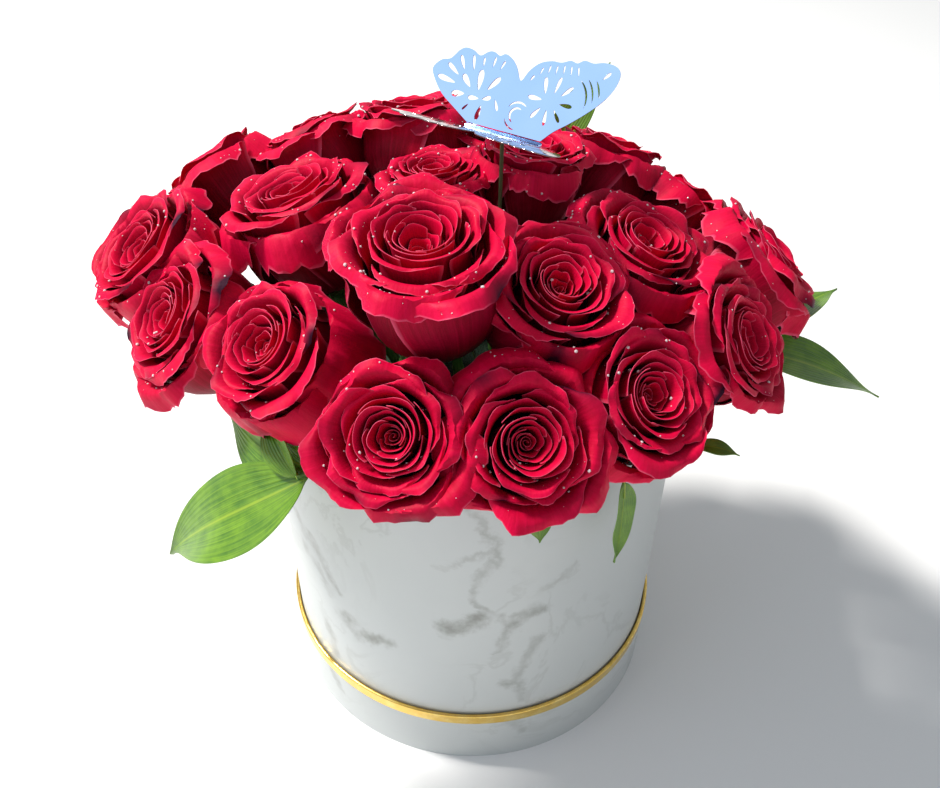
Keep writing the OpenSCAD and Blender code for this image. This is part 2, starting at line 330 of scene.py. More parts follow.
def rose(bloom, material, set_up):
    """All petals of one bloom, wound outwards from the heart by the golden angle."""
    dice = np.random.default_rng(100 + bloom.number)
    look = BLOOM_LOOKS.get(bloom.name, PLAIN_LOOK)
    heap = Heap()
    start = dice.uniform(0, 2 * math.pi)
    sheets = [(*heart_scroll(bloom, set_up), 0.0)]
    for k in range(set_up.petals):
        ring = ((k + 1) / set_up.petals) ** 0.8
        turn = start + k * GOLDEN_ANGLE + dice.uniform(-0.12, 0.12)
        sheets.append((*petal(bloom, ring, turn, look, dice, set_up), ring))
    for grid, u, v, ring in sheets:
        thick = set_up.petal_thickness * (1.2 - 0.7 * v)
        points, faces = closed_sheet(grid, thick)
        at_margin = ((v > 0.985) | ((np.abs(u) > 0.99) & (v > 0.35))).astype(float)
        spot = np.exp(-((u - dice.uniform(-0.8, 0.8)) / dice.uniform(0.10, 0.35)) ** 2)
        worn = spot * v ** 5 * smooth((ring - 0.62) / 0.2) * look[2] * dice.uniform(0.0, 2.2)
        side = np.concatenate([np.zeros(u.size), np.ones(u.size)])
        heap.add(bloom.place(points), faces, margin=both(at_margin), across=both(u),
                 along=both(v), worn=both(worn), tone=dice.uniform(0, 1), inside=side)
    return heap.piece(bloom.name + "_petals", material, "insert", [bloom.name])


def dew(bloom, heap, petals, dice, set_up):
    """Drops of water on the petals that face up: small flattened balls of 8 by 5 facets."""
    normal, centre, area = facets(petals.data)
    up_the_bloom = (centre - bloom.foot) @ bloom.axis
    spots = np.flatnonzero((normal[:, 2] > 0.45) & (up_the_bloom > bloom.high * 0.72))
    if len(spots) == 0:
        return
    share = area[spots, 0] / area[spots, 0].sum()
    ball, faces = revolve([(math.sin(a) if 0 < a < math.pi else 0, -math.cos(a))
                           for a in np.linspace(0, math.pi, 6)], 8)
    for i in dice.choice(spots, set_up.drops, p=share):
        size = set_up.drop_size * (0.18 + 0.82 * dice.uniform(0, 1) ** 3)
        side = unit(np.cross(normal[i], [0.3, 0.9, 0.2]))
        other = np.cross(normal[i], side)
        drop = ball[:, :1] * side + ball[:, 1:2] * other + (ball[:, 2:] * 0.7 + 0.35) * normal[i]
        heap.add(centre[i] + drop * size / 2, faces)


def sepal(bloom, turn, long, wide, dice):
    """One sepal: a narrow leaf that leaves the hip, arches out and curls down.

    Its midline is a curve of radius against height, its half width the sine of the share
    along it, and its margins lift with the square of u."""
    u = np.linspace(-1, 1, 7)[None, :]
    v = np.linspace(0, 1, 15)[:, None]
    curl = dice.uniform(0.3, 1.0)
    path = [(0.10, 0.05), (0.34, 0.10), (0.58, 0.0 - 0.1 * curl), (0.74, -0.25 - 0.2 * curl),
            (0.80 - 0.1 * curl, -0.52 - 0.25 * curl)]
    line = through(np.array(path) * long, v + 0 * u)
    half = wide / 2 * (np.sin(math.pi * np.clip(v, 0, 1) ** 0.55) + 0.12 * (1 - v))
    ragged = 1 + 0.35 * np.sin(v * 26 + turn) * (np.abs(u) > 0.9) * v
    sway = long * 0.10 * np.sin(v * 3 + turn * 3) * v
    reach = line[..., 0]
    aside = u * half * ragged + sway
    lift = line[..., 1] + np.abs(u) ** 2 * half * 0.5
    grid = np.stack([reach * math.cos(turn) - aside * math.sin(turn),
                     reach * math.sin(turn) + aside * math.cos(turn), lift], -1)
    return (grid, *np.broadcast_arrays(u, v))


def calyxes(blooms, material, set_up):
    """The hip under each bloom, a turned bulb, with its five sepals."""
    heap = Heap()
    for bloom in blooms:
        dice = np.random.default_rng(500 + bloom.number)
        cup = bloom.packed * 0.34
        hip = [(0, -5.2 * MM), (2.4 * MM, -5.2 * MM), (3.6 * MM, -4.2 * MM), (cup * 0.72, -2.2 * MM),
               (cup * 0.98, -0.6 * MM), (cup * 0.9, 0.6 * MM), (0, 0.6 * MM)]
        points, faces = revolve(hip)
        heap.add(bloom.place(points), faces, across=0.0, along=0.2, tip=0.0)
        for k in range(SEPALS):
            turn = 2 * math.pi * (k + dice.uniform(-0.2, 0.2)) / SEPALS
            grid, u, v = sepal(bloom, turn, set_up.sepal_length * dice.uniform(0.8, 1.15),
                               set_up.sepal_width, dice)
            points, faces = closed_sheet(grid, set_up.sepal_thickness)
            heap.add(bloom.place(points), faces, across=both(u), along=both(v), tip=both(v ** 6))
    return heap.piece("calyxes_and_sepals", material, "insert", ["rose_calyxes"])


# ---- Leaves ----

# How each leaf is shaped: sag of its tip and arch of its middle as shares of its length,
# fold of its halves as a share of its width, and how far its margins wave
LEAF_LOOKS = {
    "leaf_01": (0.10, 0.07, 0.16, 0.05), "leaf_02": (0.02, 0.05, 0.30, 0.02),
    "leaf_03": (0.05, 0.02, 0.60, 0.02), "leaf_06": (0.16, -0.04, 0.35, 0.06),
    "leaf_08": (0.06, 0.05, 0.22, 0.03), "leaf_09": (-0.06, 0.06, 0.30, 0.03),
}
PLAIN_LEAF = (0.08, 0.05, 0.22, 0.04)


def leaf(node, material, set_up):
    """One leaf blade, v from its base to its tip and u across it.

    The half width is a power of the sine of v, so that it tapers to a point. The midrib arches
    by the sine of v and sags by its square, the halves fold up along it, and the margins wave."""
    sag, arch, fold, wave = LEAF_LOOKS.get(node, PLAIN_LEAF)
    face, _ = largest_flat(node)
    face = face if face[2] >= 0 else -face
    points = corners(node)
    middle = (points.max(0) + points.min(0)) / 2
    spread = points - points.mean(0)
    long_way = np.linalg.eigh(spread.T @ spread)[1][:, -1]
    ends = [points[(points @ long_way).argmin()], points[(points @ long_way).argmax()]]
    stalks = corners("leaf_stalks")
    gap = [np.linalg.norm(stalks - e, axis=1).min() for e in ends]
    base, tip = (ends[0], ends[1]) if gap[0] < gap[1] else (ends[1], ends[0])
    way = unit(tip - base)
    side = unit(np.cross(face, way))
    long = np.linalg.norm(tip - base)
    wide = np.ptp((points - middle) @ side)
    u = np.linspace(-1, 1, 19)[None, :]
    v = np.linspace(0, 1, 41)[:, None]
    half = wide / 2 * (np.sin(math.pi * v ** 0.80) ** (0.75 + 0.8 * v ** 2) + 0.015)
    phase = int(node[-2:])
    rise = long * (arch * np.sin(math.pi * v) - sag * v ** 2)
    rise = rise + np.abs(u) * half * fold
    rise = rise + wave * wide * np.sin(v * 9 + phase + np.sign(u) * 0.8) * u ** 2
    curve = long * 0.03 * np.sin(v * math.pi + phase)
    grid = base + (v * long)[..., None] * way + (u * half + curve)[..., None] * side
    grid = grid + rise[..., None] * face
    shell, faces = closed_sheet(grid, set_up.blade_thickness * (1 - 0.5 * np.abs(u)))
    heap = Heap()
    heap.add(shell, faces, across=both(u + 0 * v), along=both(v + 0 * u))
    heap.add(*twig(base, way, face, set_up), across=0.0, along=0.0)
    return heap.piece(node + "_blade", material, "insert", [node])


def twig(base, way, face, set_up):
    """The leaf's short stalk: a tube of six sides that narrows into the midrib."""
    s = np.linspace(0, 1, 5)[:, None]
    angle = np.linspace(0, 2 * math.pi, 6, endpoint=False)[None, :]
    side = np.cross(face, way)
    radius = set_up.blade_thickness * (1.1 - 0.6 * s)
    line = base + (s * 9 * MM - 1.0 * MM)[..., None] * way - (0.2 * MM) * face
    ring = radius[..., None] * (np.cos(angle)[..., None] * side + np.sin(angle)[..., None] * face)
    tube = (line + ring).reshape(-1, 3)
    at = np.arange(30).reshape(5, 6)
    nxt = np.roll(at, -1, 1)
    quads = np.stack([at[:-1], at[1:], nxt[1:], nxt[:-1]], -1).reshape(-1, 4).tolist()
    return tube, quads + [at[0].tolist(), at[-1][::-1].tolist()]


# ---- Butterfly ----

# Outline of a wing, in millimetres along the fold and out from it: the two lobes with
# scalloped margins and the notch between them. It starts at FOLD_EDGE from the fold.
FOLD_EDGE = 0.2
WING = [(-18, FOLD_EDGE), (-25, 4), (-33, 8.5), (-38.5, 14), (-40, 17.5), (-37, 21), (-33, 22.3),
        (-30, 26), (-27.5, 27.5), (-24, 27.3), (-20, 25.8), (-17, 27.8), (-14.5, 28.3),
        (-11.5, 27.3), (-9, 28.4), (-5.5, 27), (-2.5, 24.2), (0.5, 20), (3, 24.5), (6.5, 28),
        (11, 29.6), (15, 29.8), (18.5, 31.2), (21.5, 30.8), (24, 32.3), (28, 32), (32, 33),
        (37, 32.6), (39.5, 30), (39, 25), (36, 19.5), (31, 14), (25.5, 9), (20, 4.6), (16, FOLD_EDGE)]
# Cut-outs shaped like drops: middle along and out, length, width, heading in degrees
DROPS = [(-32.5, 14.2, 9, 2.6, 172), (-30.5, 18.6, 7, 2.2, 150), (-27, 21.8, 6, 2, 122),
         (-22, 22.6, 6, 1.7, 108), (-17.6, 23.7, 3.4, 1.3, 98), (-13, 24.4, 4, 1.3, 86),
         (-9, 24, 3.8, 1.2, 70), (-23, 15.4, 6.2, 3, 138), (-17, 16.8, 8, 3.4, 95),
         (-10.5, 16.6, 7, 2.8, 52), (-25.5, 9.8, 6, 3.2, 190), (-18, 9.6, 5, 2.2, 185),
         (-12, 10.6, 4, 2.2, 20), (-14, 4.6, 6, 2.6, 262), (-20.5, 5.6, 3.6, 1.2, 230),
         (-7, 9, 4.6, 1.6, 300),
         (11.5, 20.5, 6.2, 2.2, 105), (16.5, 21.5, 6.5, 1.8, 80), (21, 20, 5.6, 2, 45),
         (22, 15, 5.4, 2, 0), (19.5, 10.5, 5.4, 1.8, 312), (15, 9, 6, 1.9, 275),
         (10.5, 10, 5.4, 1.9, 235), (8.5, 15.2, 6, 2.2, 180), (34.5, 28.5, 4, 1.6, 50),
         (5, 22, 2.6, 1.1, 60), (8, 25.2, 3, 0.9, 75), (11, 26.4, 3.2, 0.9, 85),
         (14, 26.8, 3.2, 0.9, 92), (17, 27.4, 3.4, 0.9, 98), (20, 27.6, 3.6, 0.9, 104),
         (23, 27.8, 3.6, 0.9, 110)]
# Curved slits: middle of the arc, its radius, from and to in degrees, width
SLITS = [(20, 17, 9.5, -10, 60, 0.9), (20, 17, 12, 5, 50, 0.8), (20, 17, 14.5, 12, 40, 0.8),
         (3, 7, 3, 60, 250, 1.0), (3, 7, 5.2, 50, 150, 0.8), (3, 7, 5.2, 200, 275, 0.7)]


def drop_outline(x, y, long, wide, heading):
    """A closed outline: an ellipse, drawn in towards the end that it came from."""
    a = np.linspace(0, 2 * math.pi, 16, endpoint=False)
    px = np.cos(a) * long / 2
    py = np.sin(a) * wide / 2 * (0.75 + 0.35 * np.cos(a))
    turn = math.radians(heading)
    return np.stack([x + px * math.cos(turn) - py * math.sin(turn),
                     y + px * math.sin(turn) + py * math.cos(turn)], -1)


def slit_outline(x, y, radius, start, stop, wide):
    """A closed outline: an arc out and the same arc back, thickest in its middle."""
    s = np.linspace(0, 1, 10)
    a = np.radians(start + (stop - start) * s)
    swell = wide / 2 * np.sin(math.pi * s) ** 0.6
    out = np.stack([x + (radius + swell) * np.cos(a), y + (radius + swell) * np.sin(a)], -1)
    back = np.stack([x + (radius - swell) * np.cos(a), y + (radius - swell) * np.sin(a)], -1)
    return np.concatenate([out, back[-2:0:-1]])


def wing_frame(node, joint):
    """A wing's own directions: along the fold, out from it, and square to the card."""
    along = unit(JOINTS[joint]["axis"])
    if node == "wing_near":
        along = -along
    face, _ = largest_flat(node)
    points = corners(node)
    anchor = np.array(JOINTS[joint]["pos_m"])
    out = unit(np.cross(face, along))
    if (points.mean(0) - anchor) @ out < 0:
        out = -out
    return anchor, along, out, np.cross(along, out)


def wing(node, joint, material, set_up):
    """One pierced wing, cut from flat card: its outline and holes filled as a flat curve, given
    the card's thickness, made a mesh and laid on the solid's own plane."""
    anchor, along, out, face = wing_frame(node, joint)
    solid = corners(node) - anchor
    middle = (solid @ face).max() / 2 + (solid @ face).min() / 2
    foot = (solid @ out).min()
    curve = bpy.data.curves.new(node, "CURVE")
    curve.dimensions = "2D"
    curve.fill_mode = "BOTH"
    curve.extrude = set_up.card_thickness / 2
    steps = np.linspace(0, 1, 4 * len(WING))
    outline = through(WING, steps)
    outline[:, 1] = np.maximum(outline[:, 1], FOLD_EDGE)
    holes = [drop_outline(*d) for d in DROPS] + [slit_outline(*s) for s in SLITS]
    for points in [outline] + holes:
        spline = curve.splines.new("POLY")
        spline.points.add(len(points) - 1)
        flat = np.concatenate([points * MM, np.zeros((len(points), 1)), np.ones((len(points), 1))], 1)
        spline.points.foreach_set("co", flat.ravel())
        spline.use_cyclic_u = True
    card = place_new(node + "_card", curve)
    bpy.context.view_layer.update()
    mesh = bpy.data.meshes.new_from_object(card.evaluated_get(bpy.context.evaluated_depsgraph_get()))
    bpy.data.objects.remove(card)
    co = read(mesh.vertices, "co")
    place = anchor + co[:, :1] * along + (co[:, 1:2] + foot) * out
    place = place + (co[:, 2:] + middle) * face
    bow = set_up.wing_bow * (co[:, 1] / outline[:, 1].max() / MM) ** 2
    place = place + bow[:, None] * face * (-1 if face[2] > 0 else 1)
    mesh.vertices.foreach_set("co", place.ravel())
    thing = weld(mesh, node + "_card")
    mesh.materials.append(material)
    body = {"wing_far": "far_wing", "wing_near": "near_wing"}[node]
    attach(thing, body)
    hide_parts(node)
    return thing


def weld(mesh, name):
    """Merges a mesh's doubles, turns its faces outwards and makes an object of it."""
    work = bmesh.new()
    work.from_mesh(mesh)
    bmesh.ops.remove_doubles(work, verts=work.verts, dist=0.02 * MM)
    bmesh.ops.recalc_face_normals(work, faces=work.faces)
    work.to_mesh(mesh)
    work.free()
    mesh.update()
    return place_new(name, mesh)


# ---- Finishes ----

class Value:
    """A socket's value in a material. Arithmetic on it adds Math nodes."""

    def __init__(self, finish, socket):
        self.finish = finish
        self.socket = socket

    def _math(self, operation, *others):
        return self.finish.node("ShaderNodeMath", {"operation": operation}, {
            i: o for i, o in enumerate((self,) + others)})

    def __add__(self, other):
        return self._math("ADD", other)

    __radd__ = __add__

    def __mul__(self, other):
        return self._math("MULTIPLY", other)

    __rmul__ = __mul__

    def __sub__(self, other):
        return self._math("SUBTRACT", other)

    def __rsub__(self, other):
        return (self * -1) + other

    def __truediv__(self, other):
        return self._math("DIVIDE", other)

    def __pow__(self, other):
        return self._math("POWER", other)

    def __abs__(self):
        return self._math("ABSOLUTE")

    def low(self, other):
        return self._math("MINIMUM", other)

    def high(self, other):
        return self._math("MAXIMUM", other)

    def clamp(self):
        return self.low(1.0).high(0.0)

    def step(self, start, stop):
        """Smoothly 0 at start to 1 at stop."""
        return self.finish.node("ShaderNodeMapRange", {"interpolation_type": "SMOOTHSTEP"}, {
            "Value": self, "From Min": start, "From Max": stop, "To Min": 0.0, "To Max": 1.0})


class Finish:
    """A material being built from nodes."""

    def __init__(self, name):
        self.material = bpy.data.materials.new(name)
        self.material.use_nodes = True
        self.tree = self.material.node_tree
        self.shader = self.tree.nodes["Principled BSDF"]
        self._object = None

    def node(self, kind, settings=None, inputs=None, output=0):
        """Adds a node: its settings first, then the values or links of its sockets."""
        made = self.tree.nodes.new(kind)
        for key, value in (settings or {}).items():
            setattr(made, key, value)
        for key, value in (inputs or {}).items():
            self.set(made.inputs[key], value)
        return Value(self, made.outputs[output])

    def set(self, socket, value):
        if isinstance(value, Value):
            self.tree.links.new(value.socket, socket)
        elif isinstance(value, (tuple, list)) and len(value) == 3 and socket.type == "RGBA":
            socket.default_value = (*value, 1.0)
        else:
            socket.default_value = value

    def mix(self, share, first, second):
        """The first colour where share is 0, the second where it is 1."""
        made = self.tree.nodes.new("ShaderNodeMix")
        made.data_type = "RGBA"
        self.set(made.inputs[0], share)
        self.set(made.inputs[6], first)
        self.set(made.inputs[7], second)
        return Value(self, made.outputs[2])

    def place(self):
        """Object coordinates as a vector."""
        if self._object is None:
            self._object = self.node("ShaderNodeTexCoord", output=3)
        return self._object

    def axes(self):
        """Object coordinates as three values."""
        made = self.tree.nodes.new("ShaderNodeSeparateXYZ")
        self.set(made.inputs[0], self.place())
        return [Value(self, made.outputs[i]) for i in range(3)]

    def vector(self, x, y, z):
        return self.node("ShaderNodeCombineXYZ", None, {0: x, 1: y, 2: z})

    def carried(self, name):
        """A value that the mesh's points carry."""
        return self.node("ShaderNodeAttribute", {"attribute_name": name}, output=2)

    def noise(self, scale, detail=3.0, rough=0.5, where=None, warp=0.0):
        return self.node("ShaderNodeTexNoise", None, {
            "Vector": where or self.place(), "Scale": scale, "Detail": detail,
            "Roughness": rough, "Distortion": warp})

    def bump(self, height, strength, distance):
        return self.node("ShaderNodeBump", None, {
            "Height": height, "Strength": strength, "Distance": distance})

    def done(self, **sockets):
        """Sets the shader's sockets; an underscore in a name stands for a space."""
        for key, value in sockets.items():
            self.set(self.shader.inputs[key.replace("_", " ")], value)
        return self.material


def petal_finish(colour, margin_colour):
    """Velvety crimson: darker at the foot, a painted shade for the hollow of the bloom, and darker at
    the back, thin pale margins, fine long streaks.
    """
    f = Finish("rose_petal")
    along, across = f.carried("along"), f.carried("across")
    tone = f.carried("tone")
    streak = f.noise(1.0, 4.0, 0.6, f.vector(across * 26.0, along * 2.2, tone * 30.0))
    patch = f.noise(90.0, 3.0)
    # A very dark red: painted shade at each petal's foot, where the cup is hollow, and also the petals'
    # random darker patches.
    dark_patch_and_painted_shade = (colour[0] * 0.22, 0.0, colour[2] * 0.20)
    pink = (min(colour[0] * 1.3, 1.0), 0.004, colour[2] * 2.0)
    # Painted shade: each petal darkens from its margin down to its foot, fully dark over its lowest
    # third.
    base = f.mix(along.step(0.35, 0.98), dark_patch_and_painted_shade, colour)
    base = f.mix((streak.step(0.35, 0.75) * 0.45 + tone * 0.25) * along, base, pink)
    base = f.mix(patch.step(0.5, 0.8) * 0.35, base, dark_patch_and_painted_shade)
    base = f.mix((f.carried("inside") * 0.35 * (1 - along)).clamp(), base, (0.5, 0.01, 0.01))
    worn = (f.carried("worn") * (0.6 + patch)).clamp()
    base = f.mix(worn, base, (0.035, 0.004, 0.018))
    pale = f.carried("margin") * (1 - worn) * (0.35 + patch * 0.5)
    base = f.mix(pale.clamp(), base, margin_colour)
    height = streak * 0.6 + f.noise(900.0, 2.0) * 0.4
    return f.done(Base_Color=base, Roughness=0.42 + patch * 0.2, Sheen_Weight=0.03,
                  Sheen_Roughness=0.35, Sheen_Tint=(1.0, 0.10, 0.25, 1.0),
                  Specular_IOR_Level=0.10, Normal=f.bump(height, 0.35, 0.0006))


def dew_finish():
    """Clear water that catches the light, with a faint pink painted on it as a reflection of the red
    petals round it.
    """
    f = Finish("dew")
    # Painted reflection: the drops' faint pink stands in for the red petals seen in the clear water.
    pink_painted_reflection = f.mix(f.noise(300.0), (0.95, 0.80, 0.84), (1.0, 0.97, 0.98))
    return f.done(Base_Color=pink_painted_reflection, Roughness=0.04, IOR=1.33, Transmission_Weight=0.35,
                  Specular_IOR_Level=0.9)


def leaf_finish(name, light, dark, glossy=0.28):
    """A glossy leaf: long veins that follow the margins, a paler midrib, mottled green."""
    f = Finish(name)
    along, across = f.carried("along"), f.carried("across")
    vein = f.node("ShaderNodeMath", {"operation": "PINGPONG"}, {0: abs(across) * 7.0, 1: 0.5}) * 2.0
    rib = 1 - abs(across).step(0.0, 0.07)
    mottled = f.noise(120.0, 4.0, 0.6)
    fine = f.noise(1.0, 3.0, 0.5, f.vector(across * 40.0, along * 3.0, 0.0))
    base = f.mix((mottled * 0.5 + fine * 0.5).step(0.3, 0.7), dark, light)
    base = f.mix(vein.step(0.75, 1.0) * 0.35, base, (light[0] * 1.5, light[1] * 1.25, light[2] * 1.4))
    base = f.mix(rib * 0.55, base, (light[0] * 2.2, light[1] * 1.5, light[2] * 2.0))
    height = vein * 0.5 + rib * 0.8 + fine * 0.3
    return f.done(Base_Color=base, Roughness=glossy + fine * 0.15,
                  Normal=f.bump(height, 0.5, 0.0005), Coat_Weight=0.06)


def sepal_finish():
    """Matt green sepals and hips that redden at the tips."""
    f = Finish("sepal")
    mottled = f.noise(260.0, 4.0, 0.6)
    base = f.mix(mottled.step(0.35, 0.7), (0.035, 0.11, 0.018), (0.10, 0.24, 0.035))
    base = f.mix(f.carried("tip") * 0.7, base, (0.16, 0.03, 0.015))
    return f.done(Base_Color=base, Roughness=0.5 + mottled * 0.15,
                  Normal=f.bump(mottled, 0.4, 0.0004))


def fibre_finish(name, fine, long, rough, dark, light):
    """Long upright fibres: noise drawn fine across and long up. rough holds the noise's
    roughness, the surface's roughness, how far that varies, and the bump's strength and depth."""
    f = Finish(name)
    x, y, z = f.axes()
    fibre = f.noise(1.0, 3.0, rough[0], f.vector(x * fine, y * fine, z * long))
    base = f.mix(fibre.step(0.3, 0.7), dark, light)
    return f.done(Base_Color=base, Roughness=rough[1] + fibre * rough[2],
                  Normal=f.bump(fibre, rough[3], rough[4]))


def stem_finish():
    """Green stems."""
    return fibre_finish("stem", 900.0, 60.0, (0.5, 0.45, 0.1, 0.4, 0.0004),
                        (0.04, 0.14, 0.02), (0.12, 0.26, 0.05))


# Veins of the marble print, each a run of points in millimetres: round the wall from its
# front, to the right, and up from the foot; then its width and its strength
VEINS = [
    ([(-6, 186), (2, 168), (14, 154), (10, 146), (4, 140), (4, 120), (20, 104), (26, 112)], 1.3, 0.42),
    ([(14, 154), (0, 146), (-14, 144)], 1.0, 0.28),
    ([(20, 104), (12, 86)], 1.4, 0.4),
    ([(32, 92), (26, 72), (18, 56), (28, 44)], 1.6, 0.35),
    ([(26, 122), (48, 132)], 1.2, 0.25),
    ([(-98, 128), (-80, 114), (-68, 100)], 2.2, 0.5),
    ([(-94, 112), (-72, 92)], 1.8, 0.35),
    ([(-84, 70), (-76, 44)], 2.0, 0.4),
    ([(-10, 100), (6, 110)], 2.6, 0.7),
    ([(-64, 82), (-56, 74), (-40, 80)], 2.6, 0.65),
    ([(22, 104), (30, 112)], 2.4, 0.6),
    ([(16, 57), (22, 55)], 2.0, 0.5),
]


def near_run(f, x, y, points, width):
    """How near (x, y) lies to a run of straight stretches: 1 on it, 0 at three widths off.

    The distance to a stretch is that to its nearest point, at the share h of its length."""
    best = None
    for (x0, y0), (x1, y1) in zip(points, points[1:]):
        dx, dy = x1 - x0, y1 - y0
        square = dx * dx + dy * dy
        px, py = x - float(x0), y - float(y0)
        h = ((px * float(dx) + py * float(dy)) / float(square)).clamp()
        gx, gy = px - h * float(dx), py - h * float(dy)
        gap = (gx * gx + gy * gy) ** 0.5
        best = gap if best is None else best.low(gap)
    return 1 - best.step(0.0, width * 3.0)


def marble_finish(name, radius, low, paper, vein_colour):
    """Satin marble-print paper: soft clouds, a few listed veins and fainter ones from noise.

    The print is laid out on the unrolled wall: x is the way round from the front, in
    millimetres, and y the height above low."""
    f = Finish(name)
    px, py, pz = f.axes()
    turn = f.node("ShaderNodeMath", {"operation": "ARCTAN2"}, {0: px, 1: py * -1.0})
    warp_a, warp_b = f.noise(42.0, 5.0, 0.65), f.noise(47.0, 5.0, 0.65, warp=0.4)
    x = turn * (radius / MM) + (warp_a - 0.5) * 26.0
    y = (pz - low) * (1 / MM) + (warp_b - 0.5) * 26.0
    broken = f.noise(70.0, 4.0, 0.6).step(0.32, 0.62)
    marks = None
    for points, width, strength in VEINS:
        mark = near_run(f, x, y, points, width) * strength
        marks = mark if marks is None else marks.high(mark)
    marks = marks * (0.25 + broken * 0.75)
    ridge = abs(f.noise(16.0, 5.0, 0.6, warp=0.8) - 0.5)
    faint = (1 - ridge.step(0.0, 0.035)) * f.noise(12.0, 2.0).step(0.42, 0.62) * 0.7
    back = py.step(-0.02, 0.05)
    marks = marks.high(faint * (0.2 + back * 0.8)).clamp()
    cloud = f.noise(14.0, 5.0, 0.65, warp=0.6).step(0.4, 0.75)
    base = f.mix(cloud * 0.30, paper, (0.60, 0.62, 0.60))
    base = f.mix(marks, base, vein_colour)
    grain = f.noise(1400.0, 3.0)
    return f.done(Base_Color=base, Roughness=0.34 + cloud * 0.08, Coat_Weight=0.12,
                  Coat_Roughness=0.2, Normal=f.bump(grain, 0.06, 0.0004))


def gold_finish():
    """Glossy foil edging with faint ripples along its run."""
    f = Finish("gold_foil")
    scuff = f.noise(160.0, 4.0, 0.6)
    base = f.mix(scuff.step(0.4, 0.8), (0.83, 0.55, 0.13), (0.92, 0.70, 0.26))
    return f.done(Base_Color=base, Metallic=1.0, Roughness=0.16 + scuff * 0.14,
                  Normal=f.bump(f.noise(60.0, 3.0), 0.25, 0.0008))


def paper_finish():
    """Plain white paper with a fine tooth."""
    f = Finish("white_paper")
    tooth = f.noise(1600.0, 3.0)
    base = f.mix(f.noise(30.0), (0.80, 0.79, 0.76), (0.88, 0.87, 0.85))
    return f.done(Base_Color=base, Roughness=0.75 + tooth * 0.1, Normal=f.bump(tooth, 0.15, 0.0003))


def board_finish():
    """Grey-brown bookbinder's board with flecks of fibre."""
    f = Finish("board")
    fleck = f.noise(700.0, 4.0, 0.7)
    base = f.mix(fleck.step(0.35, 0.7), (0.34, 0.27, 0.19), (0.50, 0.42, 0.31))
    return f.done(Base_Color=base, Roughness=0.8 + fleck * 0.1, Normal=f.bump(fleck, 0.3, 0.0004))


def liner_finish():
    """Milky plastic of the waterproof liner."""
    f = Finish("liner_plastic")
    cloudy = f.noise(25.0, 4.0)
    base = f.mix(cloudy, (0.62, 0.66, 0.66), (0.76, 0.80, 0.80))
    return f.done(Base_Color=base, Roughness=0.22 + cloudy * 0.12, Transmission_Weight=0.2,
                  Normal=f.bump(f.noise(80.0, 2.0), 0.1, 0.0006))


def foam_finish():
    """Wet floral foam: dark green, porous."""
    f = Finish("wet_foam")
    pores = f.node("ShaderNodeTexVoronoi", None, {"Vector": f.place(), "Scale": 900.0})
    damp = f.noise(40.0, 4.0, 0.6)
    base = f.mix(damp.step(0.3, 0.7), (0.006, 0.022, 0.010), (0.014, 0.045, 0.02))
    return f.done(Base_Color=base, Roughness=0.85 - damp * 0.2, Normal=f.bump(pores, 0.7, 0.0008))


def mirror_finish(colour):
    """Mirror-faced card: bright metal film with the slightest waviness."""
    f = Finish("mirror_card")
    wavy = f.noise(45.0, 2.0)
    base = f.mix(wavy.step(0.3, 0.7), (colour[0] * 0.92, colour[1] * 0.95, colour[2]), colour)
    return f.done(Base_Color=base, Metallic=1.0, Roughness=0.06 + wavy * 0.06,
                  Normal=f.bump(wavy, 0.15, 0.0015))


def pad_finish():
    """White foam pad, closed cells."""
    f = Finish("foam_pad")
    cells = f.node("ShaderNodeTexVoronoi", None, {"Vector": f.place(), "Scale": 1500.0})
    base = f.mix(cells, (0.85, 0.85, 0.83), (0.70, 0.70, 0.68))
    return f.done(Base_Color=base, Roughness=0.8 + cells * 0.1, Normal=f.bump(cells, 0.4, 0.0004))


def wood_finish():
    """Bamboo pick, stained green, with straight grain; its greens are kept dark, partly a guessed stain
    and partly painted shade so that it sinks into the dark between the roses.
    """
    # Painted shade in part: both greens are kept dark so that the pick reads as the shade between the
    # blooms.
    return fibre_finish("pick_wood", 2500.0, 40.0, (0.6, 0.55, 0.15, 0.3, 0.0003),
                        (0.05, 0.07, 0.02), (0.12, 0.13, 0.05))


def floor_finish(colour):
    """Plain pale backdrop paper."""
    f = Finish("backdrop")
    mild = f.noise(3.0, 2.0)
    base = f.mix(mild, (colour[0] * 0.98, colour[1] * 0.98, colour[2] * 0.98), colour)
    return f.done(Base_Color=base, Roughness=0.8 + mild * 0.1)


def dress(material, *nodes):
    """Gives carried-over nodes their finish."""
    for node in nodes:
        slots = NODES[node].data.materials
        slots.clear()
        slots.append(material)


# ---- Settings, operators and panel ----

def length(name, text, default, low, high):
    """A size setting, given in millimetres."""
    return bpy.props.FloatProperty(name=name, description=text, default=default * MM,
                                   min=low * MM, max=high * MM, unit="LENGTH")


def colour_of(name, text, default):
    """A colour setting."""
    return bpy.props.FloatVectorProperty(name=name, description=text, default=default,
                                         subtype="COLOR", min=0, max=1)


